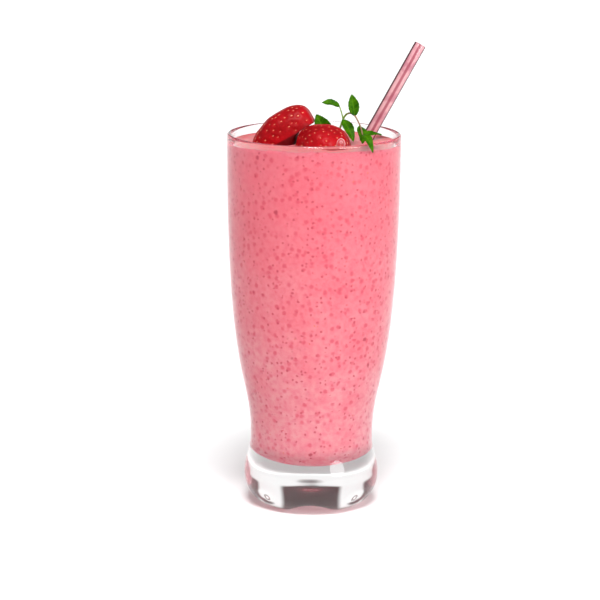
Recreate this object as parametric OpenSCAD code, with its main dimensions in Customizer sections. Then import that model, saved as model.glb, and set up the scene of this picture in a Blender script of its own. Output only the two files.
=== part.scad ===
// Strawberry smoothie: a tall footed glass filled with smoothie, topped with two halved
// strawberries, a sprig of herb and a drinking straw.
// Millimetres, +Z up. The origin is on the glass's axis, on the face that it stands on.

/* [Glass] */
// Height of the glass from the table to its lip
glass_h = 170; // [150:1:200]
// Outer diameter at the lip
rim_d = 78; // [72:1:94]
// Thickness of the wall at the lip
rim_wall = 2; // [1.4:0.1:2.6]
// Outer diameter at the neck, the narrow place above the foot
neck_d = 55.4; // [50:0.2:66]
// Thickness of the wall at the neck
neck_wall = 2.7; // [2:0.1:3.5]
// Height of the neck above the table
neck_z = 31; // [28:0.5:37]
// Outer diameter of the foot where it bulges most
foot_d = 61; // [58:0.5:73]
// Height at which the bulge of the foot ends and draws in to the neck
foot_z = 15; // [14:0.5:18]
// Diameter of the flat underside, before the scallops
stand_d = 38; // [34:0.5:46]
// Height of the rounding between the underside and the bulge
foot_round_h = 14; // [10:0.5:14]
// Thickness of solid glass under the drink
base_t = 18; // [15:0.5:21]
// Height of the rounded bottom of the bowl
bowl_round_h = 12; // [8:0.5:12.5]

/* [Feet] */
// Number of feet, with a scallop between each pair
feet = 4; // [3:1:5]
// Radius of the scallop between two feet
scallop_r = 25; // [20:1:30]
// Angle at which each scallop rises outward, in degrees
scallop_rise = 14; // [10:0.5:15]
// Distance from the axis at which the scallops start
scallop_start = 9; // [7:0.5:11]

/* [Drink] */
// How far the drink's surface lies below the lip
drink_drop = 4.6; // [4.4:0.1:9]

/* [Straw] */
// Outer diameter of the straw
straw_d = 5.4; // [4.5:0.1:6.5]
// Thickness of the straw's wall
straw_wall = 0.4; // [0.3:0.05:0.6]
// Length of the straw
straw_len = 154; // [146:1:184]
// How far behind the glass's axis the straw lies
straw_back = 11.7; // [9:0.1:14]
// Distance from the wall to the straw's axis where it enters the drink
straw_inset = 10.6; // [9.6:0.1:12]
// Depth of the straw's lower end below the drink's surface
straw_depth = 92; // [80:1:110]
// Clearance between the straw's lower end and the wall
straw_gap = 0.6; // [0.4:0.1:1]

/* [Strawberries] */
// Length of the strawberry half that leans
lean_len = 32; // [28:1:34]
// Radius of the strawberry half that leans
lean_r = 11.6; // [9:0.1:12]
// Slope of the strawberry half that leans, in degrees
lean_slope = 30; // [27:1:33]
// Length of the strawberry half that lies
lie_len = 27; // [23:1:30]
// Width of the strawberry half that lies
lie_w = 25; // [22:0.1:26]
// Height of the strawberry half that lies, from its cut face
lie_h = 11.6; // [10:0.1:12]
// How far the cut face of the lying half is sunk below the drink's surface
lie_sunk = 1.6; // [1:0.1:2.5]
// Turn of the lying half's tip towards the front, in degrees
lie_turn = 64; // [56:1:70]

/* [Herb] */
// Diameter of the herb's stem
stem_d = 0.9; // [0.7:0.1:1.2]
// Length of a full herb leaf
leaf_len = 9.6; // [8:0.2:11]
// Width of a full herb leaf
leaf_w = 4.8; // [4:0.1:5.6]
// Thickness of a leaf along its midrib
leaf_t = 0.6; // [0.5:0.1:0.8]

/* [Hidden] */
$fn = 96;
eps = 0.01;

rim_r = rim_d / 2;
neck_r = neck_d / 2;
foot_r = foot_d / 2;
stand_r = stand_d / 2;
drink_z = glass_h - drink_drop;

// Each curve of the glass leaves and meets its ends upright. These set how slowly: as shares of
// the flare's height for the wall, and as heights for the foot.
neck_share = 0.22;
rim_share = 0.84;
shoulder_ease = 7;
foot_ease = 5;

// A cubic curve in n steps from a to d, with b and c pulling at it.
function curve(a, b, c, d, n) = [for (i = [0:n]) let (t = i / n, s = 1 - t)
    s * s * s * a + 3 * s * s * t * b + 3 * s * t * t * c + t * t * t * d];

// A quarter of an ellipse about c, from angle a0 to a1, as [radius, height] points.
function ellipse_arc(c, rx, rz, a0, a1, n) = [for (i = [0:n]) let (a = a0 + (a1 - a0) * i / n)
    c + [rx * cos(a), rz * sin(a)]];

// The flare of the wall, from radius r0 at height z0 to radius r1 at height z1.
function flare(r0, z0, r1, z1) = let (h = z1 - z0)
    curve([r0, z0], [r0, z0 + neck_share * h], [r1, z1 - rim_share * h], [r1, z1], 22);

lip_z = glass_h - rim_wall / 2;
bowl_r = neck_r - neck_wall;
bowl_z = base_t + bowl_round_h;

// The inside of the glass, from the axis up to the lip.
bowl_side = concat(
    ellipse_arc([0, bowl_z], bowl_r, bowl_round_h, -90, 0, 10),
    flare(bowl_r, bowl_z + eps, rim_r - rim_wall, lip_z));

// The outside of the glass, from the underside up to the lip.
glass_side = concat(
    ellipse_arc([stand_r, foot_round_h], foot_r - stand_r, foot_round_h, -90, 0, 7),
    curve([foot_r, foot_z], [foot_r, foot_z + foot_ease], [neck_r, neck_z - shoulder_ease], [neck_r, neck_z], 10),
    flare(neck_r, neck_z + eps, rim_r, lip_z));

lip = ellipse_arc([rim_r - rim_wall / 2, lip_z], rim_wall / 2, rim_wall / 2, 20, 160, 5);

// Radius of the bowl at height z.
bowl_radii = [for (p = bowl_side) [p[1], p[0]]];
function bowl_r_at(z) = lookup(z, bowl_radii);

module scallop() {
    translate([scallop_start, 0, 0]) rotate([0, -scallop_rise, 0])
        translate([0, 0, -scallop_r]) rotate([0, 90, 0]) cylinder(r = scallop_r, h = foot_d);
}

module bowl_space() {
    rotate_extrude() polygon(concat(bowl_side, [[0, lip_z]]));
}

module glass() {
    color([0.86, 0.9, 0.9, 0.35]) difference() {
        rotate_extrude() polygon(concat([[0, 0]], glass_side, lip, [for (i = [len(bowl_side) - 1:-1:0]) bowl_side[i]]));
        for (i = [0:feet - 1]) rotate([0, 0, i * 360 / feet]) scallop();
    }
}

// The straw's axis runs from its lower end, near the wall, up through where it enters the drink.
straw_r = straw_d / 2;
straw_low_z = drink_z - straw_depth;
straw_low_reach = bowl_r_at(straw_low_z) - straw_r - straw_gap;
straw_low = [-sqrt(pow(straw_low_reach, 2) - pow(straw_back, 2)), straw_back, straw_low_z];
straw_in_reach = bowl_r_at(drink_z) - straw_inset;
straw_in = [sqrt(pow(straw_in_reach, 2) - pow(straw_back, 2)), straw_back, drink_z];
straw_lean = atan2(straw_in[0] - straw_low[0], straw_in[2] - straw_low[2]);

module along_straw() {
    translate(straw_low) rotate([0, straw_lean, 0]) children();
}

module straw() {
    color([0.93, 0.6, 0.66, 0.6]) along_straw() difference() {
        cylinder(d = straw_d, h = straw_len);
        translate([0, 0, -1]) cylinder(d = straw_d - 2 * straw_wall, h = straw_len + 2);
    }
}

// Outline of a strawberry of length 1 and radius 1, tip at 0, as [distance, radius] points.
berry_tip = curve([0, 0], [0, 0.48], [0.31, 1], [0.6, 1], 9);
berry_shoulder = curve([0.6, 1], [0.84, 1], [1.01, 0.84], [0.99, 0.34], 7);
berry_hollow = [0.96, 0];
berry_line = concat([for (i = [1:9]) berry_tip[i]], [for (i = [1:7]) berry_shoulder[i]]);
berry_sides = 28;

// How much fuller or leaner a strawberry is at angle a around it: a little square, and lopsided.
function berry_uneven(a, seed) = 1 - 0.04 * cos(4 * a) + 0.025 * cos(3 * a + seed);

// The points of a whole strawberry along +X with its tip at the origin, `half_w` wide to each
// side along Y and `half_h` high along Z.
function berry_points(length, half_w, half_h, seed) = concat([[0, 0, 0]],
    [for (p = berry_line) for (j = [0:berry_sides - 1]) let (a = 360 * j / berry_sides, u = p[1] * berry_uneven(a, seed))
        [p[0] * length, u * half_w * cos(a), u * half_h * sin(a)]],
    [[berry_hollow[0] * length, 0, 0]]);

module berry(length, half_w, half_h, seed) {
    rings = len(berry_line);
    points = berry_points(length, half_w, half_h, seed);
    last = len(points) - 1;
    function at(i, j) = 1 + i * berry_sides + j % berry_sides;
    faces = concat(
        [for (j = [0:berry_sides - 1]) [0, at(0, j), at(0, j + 1)]],
        [for (i = [0:rings - 2]) for (j = [0:berry_sides - 1]) each [
            [at(i, j), at(i + 1, j), at(i + 1, j + 1)], [at(i, j), at(i + 1, j + 1), at(i, j + 1)]]],
        [for (j = [0:berry_sides - 1]) [at(rings - 1, j), last, at(rings - 1, j + 1)]]);
    polyhedron(points, faces, convexity = 4);
}

// Half of a strawberry, cut along its length, with the cut face down.
module half_berry(length, half_w, half_h, seed) {
    intersection() {
        berry(length, half_w, half_h, seed);
        translate([-length, -2 * half_w, 0]) cube([3 * length, 4 * half_w, 2 * half_h]);
    }
}

// The lying half's broad end is at the back left and its tip at the front right.
lie_broad = [-0.4, 0.3, drink_z - lie_sunk];
lie_seed = 115;

module strawberry_lying() {
    color([0.8, 0.12, 0.16]) translate(lie_broad) rotate([0, 0, -lie_turn])
        translate([lie_len, 0, 0]) mirror([1, 0, 0]) half_berry(lie_len, lie_w / 2, lie_h, lie_seed);
}

// The upper side of the lying half, as points in the glass.
lie_top = [for (p = berry_points(lie_len, lie_w / 2, lie_h, lie_seed)) if (p[2] > 0) let (along = lie_len - p[0])
    lie_broad + [along * cos(lie_turn) + p[1] * sin(lie_turn), p[1] * cos(lie_turn) - along * sin(lie_turn), p[2]]];

// The leaning half's tip stands in the drink. Its cut face slopes up over the lying half and
// clears the lying half's top by lean_clear.
lean_turn = -3;
lean_clear = 0.06;
lean_up = [-sin(lean_slope) * cos(lean_turn), -sin(lean_slope) * sin(lean_turn), cos(lean_slope)];
lean_reach = max([for (p = lie_top) lean_up * p]) + lean_clear;
lean_x = -27.4;
lean_y = 5;
lean_tip = [lean_x, lean_y, (lean_reach - lean_up[0] * lean_x - lean_up[1] * lean_y) / lean_up[2]];

module strawberry_leaning() {
    color([0.72, 0.09, 0.12]) translate(lean_tip) rotate([0, -lean_slope, lean_turn]) half_berry(lean_len, lean_r, lean_r, 40);
}

function unit(v) = v / norm(v);

// A smooth path through the points, with n steps between each pair.
function smooth_path(p, n) = let (last = len(p) - 1) concat(
    [for (i = [0:last - 1]) for (k = [0:n - 1]) let (t = k / n, a = p[max(i - 1, 0)], b = p[i], c = p[i + 1], d = p[min(i + 2, last)])
        b + t * ((c - a) + t * ((2 * a - 5 * b + 4 * c - d) + t * (3 * b - a - 3 * c + d))) / 2],
    [p[last]]);

// A round stem of diameter d along a path of points.
module stem(path, d) {
    sides = 8;
    rings = len(path);
    function way(i) = unit(path[min(i + 1, rings - 1)] - path[max(i - 1, 0)]);
    function ring(i) = let (u = unit(cross(way(i), [0, 1, 0.01])), v = cross(u, way(i)))
        [for (j = [0:sides - 1]) let (a = 360 * j / sides) path[i] + d / 2 * (u * cos(a) + v * sin(a))];
    points = [for (i = [0:rings - 1]) each ring(i)];
    faces = concat([[for (j = [sides - 1:-1:0]) j]],
        [for (i = [0:rings - 2]) for (j = [0:sides - 1]) let (k = (j + 1) % sides) each [
            [i * sides + j, (i + 1) * sides + k, (i + 1) * sides + j], [i * sides + j, i * sides + k, (i + 1) * sides + k]]],
        [[for (j = [0:sides - 1]) (rings - 1) * sides + j]]);
    polyhedron(points, faces, convexity = 6);
}

// Share of a leaf's full width at t along it: widest before the middle, pointed at the tip.
function leaf_share(t) = sin(180 * pow(t, 0.82)) * (1 - 0.18 * t) / 0.9;

// A leaf from a stem to its tip, rooted inside the stem. Its upper side faces `up`, and `arch`
// lifts its middle.
module leaf(joint, tip, up, width, arch) {
    steps = 8;
    dir = unit(tip - joint);
    base = joint - dir * stem_d / 2;
    side = unit(cross(dir, up));
    top = cross(side, dir);
    function mid(t) = base + (tip - base) * t + top * arch * sin(180 * t);
    function row(i) = let (t = i / steps, w = width / 2 * leaf_share(t))
        [mid(t) - side * w + top * w * 0.2, mid(t) - top * leaf_t / 2, mid(t) + side * w + top * w * 0.2, mid(t) + top * leaf_t / 2];
    points = concat([base], [for (i = [1:steps - 1]) each row(i)], [tip]);
    last = len(points) - 1;
    function at(i, j) = 1 + (i - 1) * 4 + j % 4;
    faces = concat(
        [for (j = [0:3]) [0, at(1, j + 1), at(1, j)]],
        [for (i = [1:steps - 2]) for (j = [0:3]) each [
            [at(i, j), at(i + 1, j + 1), at(i + 1, j)], [at(i, j), at(i, j + 1), at(i + 1, j + 1)]]],
        [for (j = [0:3]) [at(steps - 1, j), at(steps - 1, j + 1), last]]);
    polyhedron(points, faces, convexity = 4);
}

// A place on the rim at `turn` degrees from the front towards the right: `out` past the outer
// wall and `up` above the lip.
function by_rim(turn, out, up) = [(rim_r + out) * sin(turn), -(rim_r + out) * cos(turn), glass_h + up];

// A place beside the stem: `x` and `y` from the glass's axis, `up` above the drink.
function over_drink(x, y, up) = [x, y, drink_z + up];

sprig_root = over_drink(9.4, 6.4, -1.5);
sprig_fork = over_drink(12.9, 3.4, 10.4);
sprig_twig = over_drink(12.2, 3.2, 13.4);
sprig_twig_end = over_drink(11.2, 3, 16.4);
sprig_arch = over_drink(15.3, 0.6, 13.6);
sprig_crown = over_drink(18, -4, 13.2);
sprig_bend = over_drink(20.4, -11.5, 9.6);
sprig_end = by_rim(42, -7.2, 3);

module herb_sprig() {
    color([0.3, 0.5, 0.08]) union() {
        stem(smooth_path([sprig_root, sprig_fork, sprig_arch, sprig_crown, sprig_bend, sprig_end], 3), stem_d);
        stem(smooth_path([sprig_fork, sprig_twig, sprig_twig_end], 3), stem_d);
        leaf(sprig_twig_end, sprig_twig_end + 0.84 * leaf_len * unit([-1, 0.1, 0.18]), [0.2, -0.7, 1], leaf_w * 0.8, 0.8);
        leaf(sprig_crown, sprig_crown + leaf_len * unit([-0.16, 0.1, 1]), [0.2, -1, 0.1], leaf_w, 0.3);
        leaf(sprig_fork, over_drink(17.6, -3.6, 1.6), [0.3, -0.9, 0.5], leaf_w * 0.95, 0.8);
        leaf(sprig_bend, over_drink(21.4, -20, 3.2), [0.4, -0.5, 1], leaf_w * 0.95, 0.4);
        leaf(sprig_end, by_rim(39, 2, -3.4), [0, -0.6, 0.8], leaf_w * 0.7, 3);
        leaf(sprig_end, sprig_end + [8.4, 5.2, -0.6], [0, -0.5, 1], leaf_w * 0.6, 0.6);
    }
}

// A single leaf stands in the drink behind the strawberries.
module herb_leaf() {
    color([0.3, 0.5, 0.08]) leaf([5.4, 13.4, drink_z - 0.6], [0.4, 15.4, drink_z + 11], [0.2, -1, 0.2], leaf_w * 1.3, 0.6);
}

module smoothie() {
    color([0.96, 0.5, 0.56]) difference() {
        intersection() {
            bowl_space();
            cylinder(r = rim_r, h = drink_z);
        }
        straw();
        strawberry_leaning();
        strawberry_lying();
        herb_sprig();
        herb_leaf();
    }
}

glass();
smoothie();
straw();
strawberry_leaning();
strawberry_lying();
herb_sprig();
herb_leaf();
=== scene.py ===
# %% [markdown]
# # A strawberry smoothie in a footed glass
# The CAD frame gives the size and the place of every part. This script rebuilds each part in
# finer detail in the same place: a pressed glass with four feet, a thick drink full of fruit
# flecks, a clear pink straw, two halved strawberries and a sprig of small-leaved herb.

# %% Load the frame
import bisect
import math
import random

import bmesh
import bpy
from mathutils import Matrix, Vector, kdtree, noise


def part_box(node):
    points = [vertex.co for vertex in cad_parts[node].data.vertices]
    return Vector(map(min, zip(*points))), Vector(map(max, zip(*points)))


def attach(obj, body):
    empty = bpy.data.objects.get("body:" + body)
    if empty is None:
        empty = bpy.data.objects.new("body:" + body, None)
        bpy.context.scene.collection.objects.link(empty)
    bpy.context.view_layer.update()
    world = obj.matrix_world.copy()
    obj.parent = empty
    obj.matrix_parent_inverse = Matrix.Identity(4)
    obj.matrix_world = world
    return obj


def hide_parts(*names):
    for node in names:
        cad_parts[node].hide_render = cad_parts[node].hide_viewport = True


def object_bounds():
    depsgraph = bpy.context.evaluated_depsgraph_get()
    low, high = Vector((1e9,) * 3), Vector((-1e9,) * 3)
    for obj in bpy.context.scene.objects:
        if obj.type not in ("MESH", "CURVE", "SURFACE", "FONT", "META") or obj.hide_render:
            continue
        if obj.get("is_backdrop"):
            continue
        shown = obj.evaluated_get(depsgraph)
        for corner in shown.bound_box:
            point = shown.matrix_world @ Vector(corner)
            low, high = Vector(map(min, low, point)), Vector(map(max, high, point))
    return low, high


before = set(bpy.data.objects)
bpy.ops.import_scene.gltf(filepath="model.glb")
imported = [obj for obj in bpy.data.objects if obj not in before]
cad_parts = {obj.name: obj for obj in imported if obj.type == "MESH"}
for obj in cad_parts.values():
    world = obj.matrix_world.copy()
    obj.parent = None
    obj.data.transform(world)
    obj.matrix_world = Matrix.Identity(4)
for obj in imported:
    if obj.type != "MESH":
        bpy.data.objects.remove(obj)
cad_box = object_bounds()
MM = 0.001
print("CAD nodes:", sorted(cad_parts))
print("CAD box in mm:", [[round(v / MM, 1) for v in corner] for corner in cad_box])

# %% [markdown]
# ## Camera, light and floor
# The camera stands a little over a metre away, with a long lens, and looks down by twelve
# degrees. Clear glass shows nothing of itself, only what is around it. One even colour all
# round would leave it nearly invisible, so the studio has light and dark places, as a real one
# has. In front it is light grey. Behind the glass stands a white backdrop, lower in the middle
# and at the far sides, with a dark room over it and a grey ceiling above that. The thick foot
# works as a lens, and draws these as the bright band and the dark patch between its feet.

# %% Camera
CAMERA_PLACE = Vector((0, -1.3, 0.37))
CAMERA_TURN = (0.252, 78.0, 0.479)
LENS = 176.2

camera_data = bpy.data.cameras.new("camera")
camera_data.lens = LENS
camera_data.sensor_width = 36
camera = bpy.data.objects.new("camera", camera_data)
turn, tilt, roll = (math.radians(angle) for angle in CAMERA_TURN)
camera.matrix_world = (
    Matrix.Translation(CAMERA_PLACE)
    @ Matrix.Rotation(turn, 4, "Z")
    @ Matrix.Rotation(tilt, 4, "X")
    @ Matrix.Rotation(roll, 4, "Z")
)
scene = bpy.context.scene
scene.collection.objects.link(camera)
scene.camera = camera
print("camera height in mm:", round(camera.location.z / MM))

# %% Helpers for node trees
def add_node(tree, kind, inputs, **settings):
    """Adds a node. An input given as a socket is linked, and any other value is set."""
    node = tree.nodes.new(kind)
    for key, value in settings.items():
        setattr(node, key, value)
    for key, value in inputs.items():
        if isinstance(value, bpy.types.NodeSocket):
            tree.links.new(value, node.inputs[key])
        else:
            node.inputs[key].default_value = value
    return node


def math_node(tree, operation, a, b=0.0):
    return add_node(tree, "ShaderNodeMath", {0: a, 1: b}, operation=operation).outputs[0]


def vector_node(tree, operation, inputs):
    return add_node(tree, "ShaderNodeVectorMath", inputs, operation=operation).outputs[0]


def ease(tree, value, start, end, low=0.0, high=1.0):
    """Turns a value that runs from start to end into one that runs smoothly from low to high."""
    inputs = {"Value": value, "From Min": start, "From Max": end, "To Min": low, "To Max": high}
    node = add_node(tree, "ShaderNodeMapRange", inputs, interpolation_type="SMOOTHSTEP")
    return node.outputs["Result"]


def mix(tree, factor, a, b):
    """Mixes two colours. A colour is a socket or a tuple of red, green and blue."""
    inputs = {0: factor}
    for key, value in ((6, a), (7, b)):
        inputs[key] = value if isinstance(value, bpy.types.NodeSocket) else (*value, 1.0)
    return add_node(tree, "ShaderNodeMix", inputs, data_type="RGBA").outputs[2]


def grain(tree, where, size, detail=2.0, rough=0.5):
    """Soft noise whose blotches are about `size` metres wide."""
    inputs = {"Vector": where, "Scale": 1 / size, "Detail": detail, "Roughness": rough}
    return add_node(tree, "ShaderNodeTexNoise", inputs)


def bump(tree, height, distance, strength=1.0):
    inputs = {"Height": height, "Distance": distance, "Strength": strength}
    return add_node(tree, "ShaderNodeBump", inputs).outputs["Normal"]


def new_material(name, **values):
    """A material with one Principled shader. Returns the material, its tree, the shader and
    the place on the object."""
    material = bpy.data.materials.new(name)
    material.use_nodes = True
    tree = material.node_tree
    shader = tree.nodes["Principled BSDF"]
    for key, value in values.items():
        shader.inputs[key.replace("_", " ")].default_value = value
    where = tree.nodes.new("ShaderNodeTexCoord").outputs["Object"]
    return material, tree, shader, where


print("node helpers ready")

# %% Surroundings: light grey in front, a white backdrop under a dark room behind
# A height or a side is a share of a direction's length. Each pair is where a change starts and
# where it is complete.
FRONT_GREY, BACKDROP = (0.6, 0.6, 0.6), (1.0, 1.0, 1.0)
DARK_ROOM, CEILING = (0.062, 0.042, 0.042), (0.42, 0.43, 0.44)
LOW_BACKDROP_TOP, HIGH_BACKDROP_TOP = (0.15, 0.24), (0.3, 0.4)
CEILING_START = (0.5, 0.85)
MIDDLE_PART, FAR_SIDES = (0.36, 0.28), (0.64, 0.72)
FRONT_TO_BACK = (-0.1, 0.3)

world = bpy.data.worlds.new("studio")
scene.world = world
world.use_nodes = True
sky = world.node_tree
sky.nodes.clear()
toward = sky.nodes.new("ShaderNodeTexCoord").outputs["Generated"]
axes = add_node(sky, "ShaderNodeSeparateXYZ", {0: toward})
rise = axes.outputs["Z"]
aside = math_node(sky, "ABSOLUTE", axes.outputs["X"])
low_here = math_node(sky, "MAXIMUM", ease(sky, aside, *MIDDLE_PART), ease(sky, aside, *FAR_SIDES))
over_low = math_node(sky, "MULTIPLY", low_here, ease(sky, rise, *LOW_BACKDROP_TOP))
wall = mix(sky, ease(sky, rise, *HIGH_BACKDROP_TOP), BACKDROP, DARK_ROOM)
wall = mix(sky, over_low, wall, DARK_ROOM)
behind = mix(sky, ease(sky, rise, *CEILING_START), wall, CEILING)
shade = mix(sky, ease(sky, axes.outputs["Y"], *FRONT_TO_BACK), FRONT_GREY, behind)
room = add_node(sky, "ShaderNodeBackground", {"Color": shade, "Strength": 1.0})
white = add_node(sky, "ShaderNodeBackground", {"Color": (1, 1, 1, 1), "Strength": 1.0})
seen = sky.nodes.new("ShaderNodeLightPath").outputs["Is Camera Ray"]
both = add_node(sky, "ShaderNodeMixShader", {0: seen, 1: room.outputs[0], 2: white.outputs[0]})
add_node(sky, "ShaderNodeOutputWorld", {"Surface": both.outputs[0]})
print("surroundings of", len(sky.nodes), "nodes")

# %% Lights: a broad high one in front and a softer one at the right
def add_light(name, kind, place, target, **settings):
    """A light at `place` that shines towards `target`."""
    data = bpy.data.lights.new(name, kind)
    for key, value in settings.items():
        setattr(data, key, value)
    light = bpy.data.objects.new(name, data)
    aim = (Vector(target) - Vector(place)).to_track_quat("-Z", "Y")
    light.matrix_world = Matrix.Translation(place) @ aim.to_matrix().to_4x4()
    scene.collection.objects.link(light)


add_light("light_right", "AREA", (1.0, -0.9, 0.55), (0, 0, 0.1), shape="DISK", size=0.8, energy=12)
add_light("light_front", "SUN", (0, -0.65, 1), (0, 0, 0), angle=math.radians(22), energy=3.3)
scene.view_settings.view_transform = "Standard"
scene.cycles.max_bounces = 20
scene.cycles.transmission_bounces = 18
scene.cycles.diffuse_bounces = 4
scene.cycles.transparent_max_bounces = 16
scene.cycles.sample_clamp_indirect = 6

# %% Floor: a pale matt sheet that the glass stands on
FLOOR_HALF = 4
FLOOR_GAP = 0.2 * MM
floor_bm = bmesh.new()
bmesh.ops.create_grid(floor_bm, x_segments=4, y_segments=4, size=FLOOR_HALF)
bmesh.ops.translate(floor_bm, vec=(0, 0, -FLOOR_GAP), verts=floor_bm.verts)
floor_mesh = bpy.data.meshes.new("floor")
floor_bm.to_mesh(floor_mesh)
floor_bm.free()
floor = bpy.data.objects.new("floor", floor_mesh)
scene.collection.objects.link(floor)
paper, tree, shader, where = new_material("floor_paper", Roughness=0.9, Specular_IOR_Level=0.0)
fibres = grain(tree, where, 0.02, 3).outputs["Fac"]
paper_colour = mix(tree, fibres, (0.85, 0.85, 0.85), (0.88, 0.88, 0.88))
tree.links.new(paper_colour, shader.inputs["Base Color"])
floor_mesh.materials.append(paper)
floor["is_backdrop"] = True
print("floor at z =", floor_mesh.vertices[0].co.z)

# %% [markdown]
# ## Helpers for shapes
# Most of this object is turned or grown from a drawn outline. One helper draws smooth curves,
# one spins an outline into a shape, and one makes of it a finished piece that rides on the
# object's only body.

# %% Curves and finished pieces
def curve(a, b, c, d, count):
    """A smooth curve from a to d in `count` steps, with b and c pulling at it."""
    a, b, c, d = (Vector(p) for p in (a, b, c, d))
    steps = [i / count for i in range(count + 1)]
    return [
        (1 - t) ** 3 * a + 3 * (1 - t) ** 2 * t * b + 3 * (1 - t) * t * t * c + t ** 3 * d
        for t in steps
    ]


def arc(middle, across, up, start, end, count):
    """Part of an ellipse about `middle`, between two angles in degrees."""
    angles = [math.radians(start + (end - start) * i / count) for i in range(count + 1)]
    return [Vector((middle[0] + across * math.cos(a), middle[1] + up * math.sin(a))) for a in angles]


def joined(*lines):
    """Puts outlines end to end, and leaves out a point that repeats the one before it."""
    points = []
    for line in lines:
        for p in line:
            if not points or (p - points[-1]).length > 1e-4:
                points.append(p)
    return points


def turned(outline, steps):
    """Spins an outline of [radius, height] points in mm, from axis to axis, round the Z axis."""
    bm = bmesh.new()
    verts = [bm.verts.new((p[0] * MM, 0, p[1] * MM)) for p in outline]
    edges = [bm.edges.new(pair) for pair in zip(verts, verts[1:])]
    bmesh.ops.spin(
        bm, geom=verts + edges, cent=(0, 0, 0), axis=(0, 0, 1),
        angle=math.tau, steps=steps, use_merge=True,
    )
    bmesh.ops.remove_doubles(bm, verts=bm.verts, dist=1e-7)
    bmesh.ops.recalc_face_normals(bm, faces=bm.faces)
    return bm


def finished(bm, name, materials, node=None):
    """Makes a smooth-shaded piece of a mesh in progress, and puts it on the object."""
    mesh = bpy.data.meshes.new(name)
    bm.to_mesh(mesh)
    bm.free()
    for face in mesh.polygons:
        face.use_smooth = True
    for material in materials:
        mesh.materials.append(material)
    piece = bpy.data.objects.new(name, mesh)
    scene.collection.objects.link(piece)
    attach(piece, "root")
    if node:
        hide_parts(node)
    mesh.calc_loop_triangles()
    print(f"{name}: {len(mesh.loop_triangles)} triangles")
    return piece


print("shape helpers ready")

# %% [markdown]
# ## The glass
# A pressed glass is made in a mould: one smooth turned shape whose wall narrows to a neck, and
# a thick foot. The underside has four shallow hollows between four feet, the back one shallower
# than the rest. Each foot has a flat oval pad pressed into its outer side, with a small ring
# mark in the middle. It could be cut with booleans, but a pressed foot has no sharp edges, so
# the outline is spun and then its points are moved: those of the underside are lifted on to the
# hollows with a soft maximum, which rounds every edge, and those in a pad are laid on its flat.

# %% Sizes of the glass in mm: the outer ones from the CAD box, the rest repeated from the CAD
glass_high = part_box("glass")[1]
GLASS_H = glass_high.z / MM
RIM_R = glass_high.x / MM
DRINK_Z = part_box("smoothie")[1].z / MM
LIP_R = 1
LIP_Z = GLASS_H - LIP_R
NECK_R, NECK_Z = 27.7, 31
FOOT_R, FOOT_Z = 30.5, 15
STAND_R, FOOT_ROUND = 19, 14
BOWL_R, BOWL_Z = 25, 30
BOWL_ROUND = 12
TURN_STEPS = 192
FOOT_STEPS, WALL_STEPS = 26, 44
print(f"glass {GLASS_H:.1f} mm high, lip radius {RIM_R:.1f}, drink to {DRINK_Z:.1f}")

# %% Outline of the glass
def wall_curve(r0, z0, r1, z1, count):
    """The flare of the wall, which leaves the neck and meets the lip upright."""
    rise = z1 - z0
    return curve((r0, z0), (r0, z0 + 0.22 * rise), (r1, z1 - 0.84 * rise), (r1, z1), count)


underside = [Vector((STAND_R * i / FOOT_STEPS, 0)) for i in range(FOOT_STEPS + 1)]
round_over = arc((STAND_R, FOOT_ROUND), FOOT_R - STAND_R, FOOT_ROUND, -90, 0, FOOT_STEPS)
shoulder = curve((FOOT_R, FOOT_Z), (FOOT_R, 20), (NECK_R, 24), (NECK_R, NECK_Z), 16)
outer_wall = wall_curve(NECK_R, NECK_Z, RIM_R, LIP_Z, WALL_STEPS)
lip = arc((RIM_R - LIP_R, LIP_Z), LIP_R, LIP_R, 0, 180, 10)
inner_wall = wall_curve(BOWL_R, BOWL_Z, RIM_R - 2 * LIP_R, LIP_Z, WALL_STEPS)
bowl_floor = arc((0, BOWL_Z), BOWL_R, BOWL_ROUND, -90, 0, 22)
glass_outline = joined(
    underside, round_over, shoulder, outer_wall, lip, reversed(inner_wall), reversed(bowl_floor)
)
print("outline points:", len(glass_outline))

# %% Spin the glass, lift its underside on to the hollows and press the pads
HOLLOWS = 4
HOLLOW_R = 25
HOLLOW_SLOPE = math.radians(14)
BACK_SLOPE = math.radians(10)
HOLLOW_START = 9
EDGE_SOFT = 0.55
LIFT_FADE = 6


def hollow_height(x, y):
    """How high the nearest hollow reaches over a place, in mm. Below zero there is none."""
    reach = math.hypot(x, y)
    step = math.tau / HOLLOWS
    angle = math.atan2(y, x)
    angle -= step * round(angle / step)
    along, side = reach * math.cos(angle), reach * math.sin(angle)
    dip = HOLLOW_R - math.sqrt(max(HOLLOW_R ** 2 - side * side, 1))
    slope = BACK_SLOPE if y > abs(x) else HOLLOW_SLOPE
    return (along - HOLLOW_START) * math.tan(slope) - dip / math.cos(slope)


def soft_max(a, b, soft):
    """The larger of two values, rounded where they are nearly the same."""
    most = max(a, b)
    return most + soft * math.log(math.exp((a - most) / soft) + math.exp((b - most) / soft))


PAD_TILT = math.radians(29)
PAD_R, PAD_Z = 28.0, 6.4
PAD_HALF_TURN, PAD_HALF_HIGH = 0.36, 3.5
PAD_LEAST_R = 22


def pressed_pad(x, y, z):
    """Where a place on the outer wall goes: a foot's oval pad is pressed into it as a flat."""
    place = Vector((x, y, z))
    quarter = math.tau / 4
    angle = quarter * (math.floor(math.atan2(y, x) / quarter) + 0.5)
    across = (math.atan2(y, x) - angle) / PAD_HALF_TURN
    share = across ** 2 + ((z - PAD_Z) / PAD_HALF_HIGH) ** 2
    if share > 1 or math.hypot(x, y) < PAD_LEAST_R:
        return place
    ahead = Vector((math.cos(angle), math.sin(angle), 0))
    out = ahead * math.cos(PAD_TILT) - Vector((0, 0, math.sin(PAD_TILT)))
    middle = ahead * PAD_R + Vector((0, 0, PAD_Z))
    return place - out * max(out.dot(place - middle), 0)


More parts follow.
